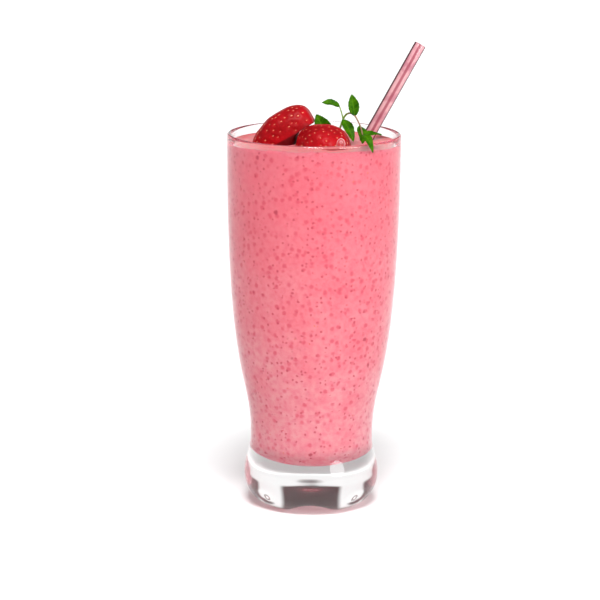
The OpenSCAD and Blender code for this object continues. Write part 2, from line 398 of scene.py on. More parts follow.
glass_bm = turned(glass_outline, TURN_STEPS)
for v in glass_bm.verts:
    x, y, z = (c / MM for c in v.co)
    if z < FOOT_Z:
        lift = hollow_height(x, y)
        fade = min(1.0, (FOOT_Z - z) / LIFT_FADE)
        z += (soft_max(z, lift, EDGE_SOFT) - z) * fade
        v.co = pressed_pad(x, y, z) * MM
lowest = min(v.co.z for v in glass_bm.verts)
print(f"foot lifted, lowest point {lowest / MM:.2f} mm")

# %% [markdown]
# The glass is clear, with the faint waviness of a moulded surface. This is a bump far broader
# than a scratch, so highlights bend gently. The ring marks are too fine to model, so they are
# bump too. The four pads mirror each other, so the distance to one pad's middle, measured on
# coordinates without their signs, draws all four rings.

# %% Material of the glass
clear_glass, tree, shader, where = new_material(
    "clear_glass", Base_Color=(0.985, 0.99, 0.988, 1), Roughness=0.0, IOR=1.5,
    Transmission_Weight=1.0,
)
MARK_R = 1.3 * MM
MARK_FADE = 0.45 * MARK_R
MARK_HIGH = 0.6 * MM
WAVE_SHARE = 0.1
waves = grain(tree, where, 0.012, 1.0).outputs["Fac"]
mirrored = vector_node(tree, "ABSOLUTE", {0: where})
pad_reach = PAD_R * math.sqrt(0.5) * MM
pad_middle = (pad_reach, pad_reach, PAD_Z * MM)
apart = add_node(tree, "ShaderNodeVectorMath", {0: mirrored, 1: pad_middle}, operation="DISTANCE")
off_ring = math_node(tree, "SUBTRACT", apart.outputs["Value"], MARK_R)
off_ring = math_node(tree, "ABSOLUTE", off_ring)
mark = ease(tree, off_ring, MARK_FADE, 0.0)
relief = math_node(tree, "ADD", mark, math_node(tree, "MULTIPLY", waves, WAVE_SHARE))
tree.links.new(bump(tree, relief, MARK_HIGH), shader.inputs["Normal"])
finished(glass_bm, "drinking_glass", [clear_glass], "glass")

# %% [markdown]
# ## The drink
# The smoothie fills the bowl. Where a liquid touches glass there is no air between them, so the
# drink is made a quarter of a millimetre larger than the bowl and reaches into the wall. Its top
# climbs a little up the wall, most of all in front, and is uneven, because the drink is thick.

# %% Outline and surface of the drink
OVERLAP = 0.25
MENISCUS, MENISCUS_WIDE = 0.6, 0.9
DRINK_SINK = 0.12
SURFACE_STEPS = 44
lowest_bowl = BOWL_Z - BOWL_ROUND
bowl_line = joined(arc((0, BOWL_Z), BOWL_R, BOWL_ROUND, -90, 0, 30), inner_wall)


def radius_at(z):
    """Radius of the bowl at a height in mm."""
    for a, b in zip(bowl_line, bowl_line[1:]):
        if a[1] <= z <= b[1]:
            return a[0] + (b[0] - a[0]) * (z - a[1]) / max(b[1] - a[1], 1e-9)
    return bowl_line[-1][0]


fill = [Vector((0, lowest_bowl - OVERLAP))]
for p in bowl_line[1:]:
    if p[1] < DRINK_Z - 1:
        down = OVERLAP if p[0] < BOWL_R - 4 else 0
        fill.append(Vector((p[0] + OVERLAP, p[1] - down)))
top_r = radius_at(DRINK_Z)
fill.append(Vector((top_r + OVERLAP, DRINK_Z - 0.6)))
fill.append(Vector((top_r + OVERLAP, DRINK_Z + MENISCUS)))
surface = [Vector((top_r - k * top_r / SURFACE_STEPS, DRINK_Z)) for k in range(SURFACE_STEPS + 1)]
for p in surface:
    p[1] += MENISCUS * math.exp(-(top_r - p[0]) / MENISCUS_WIDE) - DRINK_SINK
drink_outline = joined(fill, surface)
print("drink outline points:", len(drink_outline))

# %% Spin the drink and ruffle its surface
CLING, CLING_WIDE = 1.7, 0.55
SWELL, SWELL_WIDE = 0.35, 7
FROTH, FROTH_WIDE = 0.12, 1.6
CALM_EDGE = 2
drink_bm = turned(drink_outline, TURN_STEPS)
for v in drink_bm.verts:
    x, y, z = (c / MM for c in v.co)
    if z > DRINK_Z - 0.3:
        gap = max(0.0, top_r - math.hypot(x, y))
        front = max(0.0, -y / max(math.hypot(x, y), 1)) ** 2
        wave = 0.7 + 0.3 * noise.noise(Vector((x, y, 5)) / 9)
        v.co.z += CLING * front * wave * math.exp(-gap / CLING_WIDE) * MM
        swell = noise.noise(Vector((x, y, 3)) / SWELL_WIDE) * SWELL
        froth = noise.noise(Vector((x, y, 9)) / FROTH_WIDE) * FROTH
        v.co.z += (swell + froth) * min(1.0, gap / CALM_EDGE) * MM
print("drink volume in ml:", round(abs(drink_bm.calc_volume()) * 1e6))

# %% [markdown]
# The drink is pale pink at the bottom and deeper higher up, with soft mottling and flecks of
# fruit in three sizes. Cells of a Voronoi texture give each fleck its own place, and a random
# colour per cell says which cells hold one. The pattern fills space, so it runs on without a
# seam, and noise added to its coordinates keeps the flecks from being round. The open surface
# has its own colours, darker and browner than the drink against the glass.

# %% Material of the drink
def flecks(tree, where, spacing, radius, share):
    """Soft spots `radius` metres wide, in a given share of cells `spacing` metres apart."""
    cells = add_node(tree, "ShaderNodeTexVoronoi", {"Vector": where, "Scale": 1 / spacing})
    reach = radius / spacing
    spot = ease(tree, cells.outputs["Distance"], reach * 1.25, reach * 0.45)
    pick = add_node(tree, "ShaderNodeSeparateColor", {0: cells.outputs["Color"]}).outputs[0]
    chosen = ease(tree, pick, 1 - share, 1 - share * 0.6)
    return math_node(tree, "MULTIPLY", spot, chosen)


def drink_material(name, roughness, pale, deep, gloss):
    """Pale below and deep above, with two mottlings and three kinds of flecks laid over it."""
    material, tree, shader, where = new_material(
        name, Roughness=roughness, Subsurface_Weight=0.35, Subsurface_Scale=0.002,
        Specular_IOR_Level=gloss,
    )
    shader.inputs["Subsurface Radius"].default_value = (1.0, 0.45, 0.45)
    wobble = grain(tree, where, 0.0012, 1.0).outputs["Color"]
    wobble = vector_node(tree, "SUBTRACT", {0: wobble, 1: (0.5, 0.5, 0.5)})
    wobble = vector_node(tree, "SCALE", {0: wobble, "Scale": 0.0009})
    bent = vector_node(tree, "ADD", {0: where, 1: wobble})
    broad = ease(tree, grain(tree, where, 0.016, 3.0, 0.6).outputs["Fac"], 0.3, 0.7)
    fine = ease(tree, grain(tree, where, 0.0022, 2.0, 0.6).outputs["Fac"], 0.3, 0.75)
    level = add_node(tree, "ShaderNodeSeparateXYZ", {0: where}).outputs["Z"]
    colour = mix(tree, ease(tree, level, 0.02, 0.16, 0.0, 0.75), pale, deep)
    soft = flecks(tree, bent, 0.003, 0.0012, 0.7)
    small = flecks(tree, bent, 0.0021, 0.0006, 0.55)
    rare = flecks(tree, bent, 0.008, 0.0011, 0.25)
    layers = (
        (broad, 0.5, deep), (fine, 0.45, (0.85, 0.09, 0.17)), (soft, 0.6, (0.78, 0.04, 0.11)),
        (small, 0.8, (0.66, 0.02, 0.07)), (rare, 0.85, (0.6, 0.015, 0.06)),
    )
    for pattern, cover, red in layers:
        colour = mix(tree, math_node(tree, "MULTIPLY", pattern, cover), colour, red)
    tree.links.new(colour, shader.inputs["Base Color"])
    froth = grain(tree, where, 0.0011, 3.0).outputs["Fac"]
    tree.links.new(bump(tree, froth, 0.0002, 0.5), shader.inputs["Normal"])
    return material


PALE_PINK, DEEP_PINK = (0.97, 0.45, 0.5), (0.96, 0.17, 0.24)
drink_side = drink_material("smoothie_side", 0.55, PALE_PINK, DEEP_PINK, 0.15)
drink_top = drink_material("smoothie_top", 0.3, (0.66, 0.25, 0.22), (0.56, 0.17, 0.16), 0.2)
for face in drink_bm.faces:
    high = face.calc_center_median().z > (DRINK_Z - 1) * MM
    face.material_index = int(high and face.normal.z > 0.6)
finished(drink_bm, "smoothie_drink", [drink_side, drink_top], "smoothie")

# %% [markdown]
# Pips of the fruit show as small red grains against the glass. They are real bodies, a little
# under a millimetre long, scattered by a seeded generator and half sunk in the drink.

# %% Pips in the drink
def add_grain(bm, place, along, out, length, width, thick):
    """A teardrop pip: a small ball drawn out to a point at one end, laid flat on a surface."""
    side = out.cross(along).normalized()
    out = along.cross(side).normalized()
    turn = Matrix((along, side, out)).transposed().to_4x4()
    ball = bmesh.ops.create_uvsphere(bm, u_segments=7, v_segments=5, radius=0.5)["verts"]
    for v in ball:
        v.co = Vector((v.co.z, v.co.y, v.co.x))
        slim = 1 - 0.55 * max(0.0, v.co.x * 2)
        v.co = Vector((v.co.x * length, v.co.y * width * slim, v.co.z * thick * slim))
    bmesh.ops.transform(bm, matrix=Matrix.Translation(place) @ turn, verts=ball)


PIPS = 120
PIP_MARGIN = 3
scatter = random.Random(41)
pip_bm = bmesh.new()
for _ in range(PIPS):
    z = lowest_bowl + PIP_MARGIN + (DRINK_Z - lowest_bowl - 2 * PIP_MARGIN) * scatter.random()
    angle = scatter.uniform(0, math.tau)
    r = radius_at(z) + OVERLAP
    out = Vector((math.cos(angle), math.sin(angle), 0))
    around = Vector((-out.y, out.x, 0))
    lean = scatter.uniform(0, math.pi)
    along = (around * math.cos(lean) + Vector((0, 0, 1)) * math.sin(lean)).normalized()
    place = (out * r + Vector((0, 0, z))) * MM
    size = scatter.uniform(0.6, 1.0) * MM
    add_grain(pip_bm, place, along, out, size, size * 0.62, size * 0.4)
bmesh.ops.recalc_face_normals(pip_bm, faces=pip_bm.faces)
pip_husk, tree, shader, where = new_material("pip_husk", Roughness=0.5, Specular_IOR_Level=0.2)
tint = add_node(tree, "ShaderNodeTexVoronoi", {"Vector": where, "Scale": 260.0}).outputs["Color"]
pick = add_node(tree, "ShaderNodeSeparateColor", {0: tint}).outputs[0]
husk = mix(tree, ease(tree, pick, 0.6, 0.95), (0.78, 0.05, 0.1), (0.85, 0.2, 0.1))
tree.links.new(husk, shader.inputs["Base Color"])
finished(pip_bm, "smoothie_pips", [pip_husk])

# %% [markdown]
# ## The straw
# A tinted tube of thin plastic, a little see-through. It is spun from a small rectangle, the
# section of the wall, round its own axis, and then laid along the line that the CAD straw
# follows. Its box is enough to find that line: the tube lies in one upright plane, and is as
# wide as the box is deep. The lean and the tube's width across the box depend on each other, so
# the lean is worked out again and again until it settles.

# %% Where the straw runs
straw_low, straw_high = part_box("straw")
STRAW_D = straw_high.y - straw_low.y
STRAW_WALL = 0.4 * MM
lean = math.atan2(straw_high.x - straw_low.x, straw_high.z - straw_low.z)
SETTLE_ROUNDS = 30
for _ in range(SETTLE_ROUNDS):
    run = straw_high.x - straw_low.x - STRAW_D * math.cos(lean)
    rise = straw_high.z - straw_low.z - STRAW_D * math.sin(lean)
    lean = math.atan2(run, rise)
STRAW_LEN = math.hypot(run, rise)
straw_foot = Vector((
    straw_low.x + STRAW_D / 2 * math.cos(lean),
    (straw_low.y + straw_high.y) / 2,
    straw_low.z + STRAW_D / 2 * math.sin(lean),
))
print(f"straw {STRAW_LEN / MM:.1f} mm long, {STRAW_D / MM:.1f} mm wide")
print(f"it leans {math.degrees(lean):.1f} degrees")

# %% Straw tube
straw_bm = bmesh.new()
outer, inner = STRAW_D / 2, STRAW_D / 2 - STRAW_WALL
CUT_EDGE = 0.1 * MM
STRAW_RINGS = 12
levels = [STRAW_LEN * i / STRAW_RINGS for i in range(1, STRAW_RINGS)]
section = [(inner, 0), (outer - CUT_EDGE, 0), (outer, CUT_EDGE)]
section += [(outer, z) for z in levels]
section += [(outer, STRAW_LEN - CUT_EDGE), (outer - CUT_EDGE, STRAW_LEN), (inner, STRAW_LEN)]
section += [(inner, z) for z in reversed(levels)]
ring = [straw_bm.verts.new((r, 0, z)) for r, z in section]
sides = [straw_bm.edges.new((ring[i - 1], ring[i])) for i in range(len(ring))]
bmesh.ops.spin(
    straw_bm, geom=ring + sides, cent=(0, 0, 0), axis=(0, 0, 1),
    angle=math.tau, steps=64, use_merge=True,
)
bmesh.ops.remove_doubles(straw_bm, verts=straw_bm.verts, dist=1e-7)
bmesh.ops.recalc_face_normals(straw_bm, faces=straw_bm.faces)
lay_straw = Matrix.Translation(straw_foot) @ Matrix.Rotation(lean, 4, "Y")
bmesh.ops.transform(straw_bm, matrix=lay_straw, verts=straw_bm.verts)
print("straw top at mm:", [round(c / MM, 1) for c in lay_straw @ Vector((0, 0, STRAW_LEN))])

# %% [markdown]
# The plastic is pink, deeper in a band down the middle. Both sides, as seen from the front, are
# painted darkest: painted shade for the dark edges of a clear tube, where one looks through more
# of the wall. A Mapping node turns the object's coordinates into the straw's own, and the
# distance across the tube lays the bands.

# %% Material of the straw
straw_plastic, tree, shader, where = new_material(
    "straw_plastic", Roughness=0.12, IOR=1.45, Transmission_Weight=0.2,
)
back = lay_straw.inverted()
own = add_node(
    tree, "ShaderNodeMapping",
    {"Vector": where, "Location": back.to_translation(), "Rotation": back.to_euler()},
).outputs[0]
parts = add_node(tree, "ShaderNodeSeparateXYZ", {0: own})
across = math_node(tree, "ABSOLUTE", parts.outputs["X"])
# Painted shade: the tube's left and right sides are darkened like a clear tube's dark edges.
painted_edge_shade = ease(tree, across, outer * 0.68, outer * 0.9)
middle_band = ease(tree, across, outer * 0.34, outer * 0.12)
streaks = grain(tree, own, 0.004, 2.0).outputs["Fac"]
tint = mix(tree, ease(tree, streaks, 0.3, 0.7), (0.72, 0.38, 0.4), (0.52, 0.2, 0.25))
tint = mix(tree, math_node(tree, "MULTIPLY", middle_band, 0.85), tint, (0.3, 0.05, 0.08))
tint = mix(tree, painted_edge_shade, tint, (0.09, 0.02, 0.03))
tree.links.new(tint, shader.inputs["Base Color"])
finished(straw_bm, "drinking_straw", [straw_plastic], "straw")

# %% [markdown]
# ## The strawberries
# Both are halves, cut along their length. The outline of a berry is spun round its own axis,
# made a little uneven, and cut with a plane. The half that leans shows a rounded lower side, so
# it isn't cut: its lower side is flattened to a shallow belly. Every seed sits in a dimple, so
# the points near a seed are pushed in, and the seeds follow as separate grains. They are spread
# evenly over the skin by the golden angle, which is how the plant itself spaces them.

# %% Outline of a berry
def berry_outline(count):
    """Points of [distance, radius] for a berry of length 1 and radius 1, tip first."""
    tip = curve((0, 0), (0, 0.48), (0.31, 1), (0.6, 1), count)
    crown = curve((0.6, 1), (0.84, 1), (1.01, 0.84), (0.99, 0.34), count * 2 // 3)
    hollow = curve((0.99, 0.34), (0.985, 0.2), (0.965, 0.12), (0.96, 0), count // 6)
    return joined(tip, crown, hollow)


def berry_point(outline_place, angle, size, seed):
    """Place on the skin for a point of the outline and an angle round the berry."""
    length, half_w, half_h = size
    uneven = 1 - 0.04 * math.cos(4 * angle) + 0.025 * math.cos(3 * angle + math.radians(seed))
    r = outline_place[1] * uneven
    across, up = r * half_w * math.cos(angle), r * half_h * math.sin(angle)
    return Vector((outline_place[0] * length, across, up))


def smooth(value, start, end):
    """Rises smoothly from zero at start to one at end."""
    t = max(0.0, min(1.0, (value - start) / (end - start)))
    return t * t * (3 - 2 * t)


def seed_places(size, seed, spacing):
    """Spreads seeds over the skin by the golden angle, with equal skin to each."""
    line = berry_outline(60)
    radius = (size[1] + size[2]) / 2
    areas = [0.0]
    for a, b in zip(line, line[1:]):
        slant = math.hypot((b[0] - a[0]) * size[0], (b[1] - a[1]) * radius)
        areas.append(areas[-1] + math.tau * radius * (a[1] + b[1]) / 2 * slant)
    count = round(areas[-1] / spacing ** 2)
    golden = math.pi * (3 - math.sqrt(5))
    places = []
    for i in range(count):
        want = areas[-1] * min(max(i + 0.5 + 5 * math.sin(i * 7.3), 0.2), count - 0.2) / count
        k = bisect.bisect_left(areas, want) - 1
        t = (want - areas[k]) / (areas[k + 1] - areas[k])
        spot = line[k].lerp(line[k + 1], t)
        if spot[0] < 0.97:
            angle = i * golden + 0.07 * math.sin(i * 3.1)
            places.append(berry_point(spot, angle % math.tau, size, seed))
    return places


print("berry outline points:", len(berry_outline(60)))

# %% Steps that shape half a berry
BERRY_RINGS = 66
BERRY_STEPS = 168
BELLY_TAPER = (0.5, 0.8)
BELLY_LEAST = 0.02
CUT_KEEP = 0.5 * MM
DIMPLE_R = 0.95 * MM
DIMPLE = 0.42 * MM
LUMP, LUMP_WIDE = 0.3 * MM, 7 * MM
SEED_SPACING = 3.3 * MM
SEED_LONG, SEED_WIDE, SEED_THICK = 0.95 * MM, 0.5 * MM, 0.4 * MM
SEED_LIFT = 0.05 * MM
CUT_STEPS = ((0.25, 0.1), (0.6, 0.12), (1.2, 0.1), (2.0, 0.0), (2.0, -0.1))


def berry_shell(size, seed, belly):
    """A whole berry along the X axis, its tip at the origin, its lower side a belly if given."""
    bm = bmesh.new()
    verts = [bm.verts.new((p[0], p[1], 0)) for p in berry_outline(BERRY_RINGS)]
    edges = [bm.edges.new(pair) for pair in zip(verts, verts[1:])]
    bmesh.ops.spin(
        bm, geom=verts + edges, cent=(0, 0, 0), axis=(1, 0, 0),
        angle=math.tau, steps=BERRY_STEPS, use_merge=True,
    )
    bmesh.ops.remove_doubles(bm, verts=bm.verts, dist=1e-7)
    for v in bm.verts:
        angle = math.atan2(v.co.z, v.co.y)
        v.co = berry_point((v.co.x, math.hypot(v.co.y, v.co.z)), angle, size, seed)
        if belly and v.co.z < 0:
            v.co.z *= belly * (1 - smooth(v.co.x / size[0], *BELLY_TAPER)) + BELLY_LEAST
    bmesh.ops.recalc_face_normals(bm, faces=bm.faces)
    bm.normal_update()
    return bm


def press_dimples(bm, places, seed, belly):
    """Sinks the skin round each seed. Returns each seed's spot on it and the way out there."""
    seeds_near = kdtree.KDTree(len(places))
    for i, p in enumerate(places):
        seeds_near.insert(p, i)
    seeds_near.balance()
    dimple = bm.verts.layers.float.new("dimple")
    under = bm.verts.layers.float.new("under")
    normals = {v: v.normal.copy() for v in bm.verts}
    for v in bm.verts:
        lumps = noise.noise(v.co / LUMP_WIDE + Vector((seed, 0, 0))) * LUMP
        near = math.exp(-(seeds_near.find(v.co)[2] / DIMPLE_R) ** 2)
        v[dimple] = near
        # Painted shade mask: on a half with a belly, it marks the lower side, which the skin paints
        # dark.
        v[under] = smooth(-v.co.z / MM, -0.6, 0.5) if belly else 0.0
        v.co += normals[v] * (lumps - DIMPLE * near)
    skin = kdtree.KDTree(len(bm.verts))
    bm.verts.index_update()
    bm.verts.ensure_lookup_table()
    for v in bm.verts:
        skin.insert(v.co, v.index)
    skin.balance()
    nearest = [skin.find(p) for p in places]
    return [(found[0].copy(), normals[bm.verts[found[1]]]) for found in nearest]


def cut_flat(bm):
    """Cuts the berry at z = 0 and swells the cut face a little inside its rim."""
    cut = bmesh.ops.bisect_plane(
        bm, geom=bm.verts[:] + bm.edges[:] + bm.faces[:], dist=1e-6,
        plane_co=(0, 0, 0), plane_no=(0, 0, 1), clear_inner=True,
    )
    rim = [e for e in cut["geom_cut"] if isinstance(e, bmesh.types.BMEdge) and e.is_valid]
    cap = bmesh.ops.edgeloop_fill(bm, edges=rim, mat_nr=1)["faces"]
    bmesh.ops.recalc_face_normals(bm, faces=bm.faces)
    for thick, depth in CUT_STEPS:
        bmesh.ops.inset_region(bm, faces=cap, thickness=thick * MM, depth=depth * MM)


def place_in_box(bm, turn, node):
    """How far a turned half moves, so that its middle is that of the CAD node's box."""
    own_box = [turn @ v.co for v in bm.verts if v.co.z > -0.5 * MM]
    middle = [(min(p[i] for p in own_box) + max(p[i] for p in own_box)) / 2 for i in range(3)]
    low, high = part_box(node)
    return Matrix.Translation((low + high) / 2 - Vector(middle))


print(f"seeds {SEED_SPACING / MM:.1f} mm apart, in dimples {DIMPLE / MM:.2f} mm deep")

# %% One half of a berry with its seeds
def half_berry(name, size, seed, turn, node, skin, flesh, husk, belly=0.0):
    """Builds a half with its cut face at z = 0, places it by the CAD node's box, adds its seeds.
    With a belly, the lower side is a shallow bulge of skin in place of a flat cut."""
    bm = berry_shell(size, seed, belly)
    places = [p for p in seed_places(size, seed, SEED_SPACING) if p.z > CUT_KEEP]
    spots = press_dimples(bm, places, seed, belly)
    if not belly:
        cut_flat(bm)
    shift = place_in_box(bm, turn, node)
    bmesh.ops.transform(bm, matrix=shift @ turn, verts=bm.verts)
    finished(bm, name, [skin, flesh], node)
    seeds = bmesh.new()
    turn_only = turn.to_3x3()
    for at, out in spots:
        along = Vector((-1, 0, 0))
        along = (along - out * along.dot(out)).normalized()
        big = 1.0 + 0.25 * noise.noise(at / MM)
        add_grain(
            seeds, shift @ turn @ (at + out * SEED_LIFT), turn_only @ along, turn_only @ out,
            SEED_LONG * big, SEED_WIDE * big, SEED_THICK,
        )
    bmesh.ops.recalc_face_normals(seeds, faces=seeds.faces)
    finished(seeds, name + "_seeds", [husk])
    moved = [round(c / MM, 2) for c in shift.to_translation()]
    print(f"{name}: {len(places)} seeds, moved by {moved} mm")


# %% [markdown]
# Ripe skin is deep red with a low gloss, and a little lighter round each seed. The dimple
# attribute stored in the mesh says where. Another attribute marks the rounded lower side of the
# leaning half, and there the skin is painted nearly black: painted shade, for the deep shadow in
# the crevice between the two halves. The cut face is softer and lighter, with pale fibres. The
# seeds are brown to red, and a Voronoi texture gives each its own shade.

# %% Materials of the strawberries
berry_skin, tree, shader, where = new_material(
    "berry_skin", Roughness=0.42, Subsurface_Weight=0.06, Subsurface_Scale=0.0012,
    Specular_IOR_Level=0.1,
)
shader.inputs["Subsurface Radius"].default_value = (1.0, 0.2, 0.1)
blush = ease(tree, grain(tree, where, 0.009, 3.0).outputs["Fac"], 0.3, 0.7)
red = mix(tree, blush, (0.35, 0.002, 0.006), (0.22, 0.001, 0.003))
freckle = grain(tree, where, 0.0007, 2.0).outputs["Fac"]
red = mix(tree, ease(tree, freckle, 0.45, 0.8, 0.0, 0.3), red, (0.5, 0.01, 0.018))
by_seed = add_node(tree, "ShaderNodeAttribute", {}, attribute_name="dimple").outputs["Fac"]
red = mix(tree, ease(tree, by_seed, 0.25, 0.85, 0.0, 0.3), red, (0.46, 0.02, 0.016))
# Painted shade: the leaning half's lower side is darkened to near black, standing in for shadow.
below = add_node(tree, "ShaderNodeAttribute", {}, attribute_name="under").outputs["Fac"]
red = mix(tree, math_node(tree, "MULTIPLY", below, 0.85), red, (0.05, 0.001, 0.002))
tree.links.new(red, shader.inputs["Base Color"])
pores = grain(tree, where, 0.0006, 2.0).outputs["Fac"]
tree.links.new(bump(tree, pores, 0.00008, 0.5), shader.inputs["Normal"])

berry_flesh, tree, shader, where = new_material(
    "berry_flesh", Roughness=0.35, Subsurface_Weight=0.3, Subsurface_Scale=0.002,
    Specular_IOR_Level=0.5,
)
shader.inputs["Subsurface Radius"].default_value = (1.0, 0.35, 0.25)
fibre = ease(tree, grain(tree, where, 0.0016, 4.0, 0.65).outputs["Fac"], 0.35, 0.7)
pulp = mix(tree, fibre, (0.62, 0.04, 0.05), (0.8, 0.2, 0.17))
tree.links.new(pulp, shader.inputs["Base Color"])
tree.links.new(bump(tree, fibre, 0.0002, 0.6), shader.inputs["Normal"])

seed_husk, tree, shader, where = new_material("seed_husk", Roughness=0.4, Coat_Weight=0.2)
tint = add_node(tree, "ShaderNodeTexVoronoi", {"Vector": where, "Scale": 300.0}).outputs["Color"]
pick = add_node(tree, "ShaderNodeSeparateColor", {0: tint}).outputs[0]
husk = mix(tree, pick, (0.7, 0.3, 0.16), (0.5, 0.06, 0.04))
tree.links.new(husk, shader.inputs["Base Color"])
print("strawberry materials ready")

# %% Both halves
lean_turn = Matrix.Rotation(math.radians(-3), 4, "Z") @ Matrix.Rotation(math.radians(-30), 4, "Y")
half_berry(
    "strawberry_half_leaning", (32 * MM, 11.6 * MM, 11.6 * MM), 40, lean_turn,
    "strawberry_leaning", berry_skin, berry_flesh, seed_husk, belly=0.62,
)
lie_turn = Matrix.Rotation(math.radians(116), 4, "Z")
half_berry(
    "strawberry_half_lying", (27 * MM, 12.5 * MM, 11.6 * MM), 115, lie_turn,
    "strawberry_lying", berry_skin, berry_flesh, seed_husk,
)

# %% [markdown]
# ## A bubble
# Where the drink was poured, one bubble still clings to the lying half. A bubble is a thin film,
# seen mostly at its edge, so it is a small dome whose finish turns from clear in the middle to
# pale pink at the edge. That pale rim is partly the film and partly a painted highlight. A second,
# smaller dome of the same finish is a painted highlight too: it stands where the light comes
# through the bubble, and shows as a smaller ring.

# %% The bubble
DOME_R, DOME_STRETCH = 1.9 * MM, (1, 0.8, 1.35, 1)
DOME_PLACE = Vector((11.8, -22.6, 168.7)) * MM
# Painted highlight: a small pale dome put where the light comes through the bubble.
PAINTED_HIGHLIGHT_R, PAINTED_HIGHLIGHT_PLACE = 0.36 * DOME_R, Vector((11.9, -24.1, 169.8)) * MM
bubble_bm = bmesh.new()
bmesh.ops.create_uvsphere(
    bubble_bm, u_segments=32, v_segments=20, radius=DOME_R,
    matrix=Matrix.Translation(DOME_PLACE) @ Matrix.Diagonal(DOME_STRETCH),
)
bmesh.ops.create_uvsphere(
    bubble_bm, u_segments=24, v_segments=14, radius=PAINTED_HIGHLIGHT_R,
    matrix=Matrix.Translation(PAINTED_HIGHLIGHT_PLACE),
)
bubble_film_and_highlight, tree, shader, where = new_material(
    "bubble_film_and_highlight", Base_Color=(0.98, 0.66, 0.68, 1), Roughness=0.2, Specular_IOR_Level=0.5,
)
# The pale pink rim, by facing, is partly the film and partly a painted highlight.
edge = add_node(tree, "ShaderNodeLayerWeight", {"Blend": 0.5}).outputs["Facing"]
cover = ease(tree, edge, 0.3, 0.75, 0.1, 0.95)
clear = add_node(tree, "ShaderNodeBsdfTransparent", {})
film_and_highlight = add_node(tree, "ShaderNodeMixShader", {0: cover, 1: clear.outputs[0], 2: shader.outputs[0]})
surface = next(n for n in tree.nodes if n.type == "OUTPUT_MATERIAL").inputs["Surface"]
tree.links.new(film_and_highlight.outputs[0], surface)
finished(bubble_bm, "bubble", [bubble_film_and_highlight])

# %% [markdown]
# ## The herb
# A sprig with small pointed leaves arches over the rim, and one more leaf stands behind the
# fruit. A leaf starts as a flat grid. Its sides are drawn in to a point at each end, the blade
# is folded a little along the midrib, and the veins are pressed in. A Solidify modifier gives
# it the thickness of a leaf. The stem is a row of rings along a path, bridged into a tube, green
# at its foot and browner where it arches.

# %% Places along the sprig, repeated from the CAD, in mm from the glass's axis and the drink
def over_drink(x, y, up):
    return Vector((x, y, DRINK_Z + up)) * MM


def by_rim(turn, out, up):
    """A place at `turn` degrees from the front, `out` past the wall and `up` above the lip."""
    a = math.radians(turn)
    r = RIM_R + out
    return Vector((r * math.sin(a), -r * math.cos(a), GLASS_H + up)) * MM


ROOT = over_drink(9.4, 6.4, -1.5)
FORK = over_drink(12.9, 3.4, 10.4)
TWIG = over_drink(12.2, 3.2, 13.4)
TWIG_END = over_drink(11.2, 3, 16.4)
ARCH = over_drink(15.3, 0.6, 13.6)
CROWN = over_drink(18, -4, 13.2)
BEND = over_drink(20.4, -11.5, 9.6)
END = by_rim(42, -7.2, 3)
LEAF_LEN = 9.6 * MM
LEAF_W = 4.8 * MM
print("sprig ends at mm:", [round(c / MM, 1) for c in END])

# %% Stems
STEM_SIDES = 12


def smooth_path(points, count):
    """A smooth line through the points, with `count` steps between each pair."""
    line = []
    last = len(points) - 1
    for i in range(last):
        a, b, c, d = points[max(i - 1, 0)], points[i], points[i + 1], points[min(i + 2, last)]
        for k in range(count):
            t = k / count
            pull = (c - a) + t * ((2 * a - 5 * b + 4 * c - d) + t * (3 * b - a - 3 * c + d))
            line.append(b + t * pull / 2)
    return line + [points[-1]]


def add_stem(bm, path, start_d, end_d):
    """A tube along a path: rings of points, each bridged to the next, and closed ends."""
    loops = []
    for i, p in enumerate(path):
        way = (path[min(i + 1, len(path) - 1)] - path[max(i - 1, 0)]).normalized()
        radius = (start_d + (end_d - start_d) * i / (len(path) - 1)) / 2
        radius *= 1 + 0.08 * math.sin(i * 2.1)
        face = way.to_track_quat("Z", "Y").to_matrix().to_4x4()
        ring = bmesh.ops.create_circle(
            bm, segments=STEM_SIDES, radius=radius, matrix=Matrix.Translation(p) @ face,
            cap_ends=i in (0, len(path) - 1),
        )["verts"]
        loops.append({e for v in ring for e in v.link_edges})
    for a, b in zip(loops, loops[1:]):
        bmesh.ops.bridge_loops(bm, edges=list(a | b))


stem_bm = bmesh.new()
main_path = smooth_path([ROOT, FORK, ARCH, CROWN, BEND, END], 8)
add_stem(stem_bm, main_path, 1.0 * MM, 0.6 * MM)
add_stem(stem_bm, smooth_path([FORK, TWIG, TWIG_END], 6), 0.7 * MM, 0.5 * MM)
bmesh.ops.recalc_face_normals(stem_bm, faces=stem_bm.faces)
herb_stem, tree, shader, where = new_material("herb_stem", Roughness=0.5, Specular_IOR_Level=0.4)
along_arch = add_node(tree, "ShaderNodeSeparateXYZ", {0: where}).outputs["X"]
reddish = ease(tree, along_arch, 0.0135, 0.0165)
mottle = ease(tree, grain(tree, where, 0.0015, 3.0).outputs["Fac"], 0.35, 0.65)
green = mix(tree, mottle, (0.16, 0.3, 0.03), (0.26, 0.42, 0.06))
brown = mix(tree, mottle, (0.22, 0.1, 0.07), (0.3, 0.2, 0.1))
tree.links.new(mix(tree, reddish, green, brown), shader.inputs["Base Color"])
finished(stem_bm, "herb_stems", [herb_stem], "herb_sprig")

# %% Leaves
FOLD = 0.35
SIDE_VEINS, VEIN_SLANT = 5.5, 0.9
RIB_DEPTH, VEIN_HIGH, RIPPLE = 0.16 * MM, 0.07 * MM, 0.25 * MM
LEAF_THICK = 0.28 * MM


def leaf_share(t):
    """Share of the full width at t along the leaf: widest before the middle, then a point."""
    return max(0.0, math.sin(math.pi * t ** 0.88)) ** 0.7 * (1 - 0.12 * t) / 0.94


